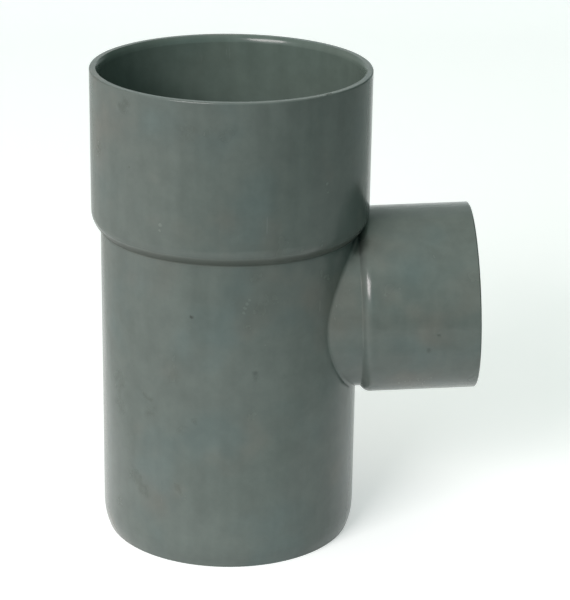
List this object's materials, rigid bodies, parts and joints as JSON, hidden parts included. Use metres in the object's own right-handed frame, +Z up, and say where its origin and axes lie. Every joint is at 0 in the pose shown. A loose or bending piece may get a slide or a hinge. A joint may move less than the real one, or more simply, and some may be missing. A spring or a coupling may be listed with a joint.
{
  "type": "pipe tee",
  "caption": "Moulded grey plastic pipe tee: a straight run with a socket above and a round-nosed spigot below, and a smaller socketed branch near a right angle, for cemented drain pipe.",
  "frame": {"origin": "where the axes of the run and the branch cross", "axes": "+Z up the run and out of its socket's mouth, -Z out of the spigot end; the branch points along +X, raised 2.5 degrees above it"},
  "size_m": [0.1648, 0.118, 0.2045],
  "materials": {
    "pvc": "satin"
  },
  "bodies": {
    "root": {"pipe_tee": "pvc"}
  },
  "joints": []
}
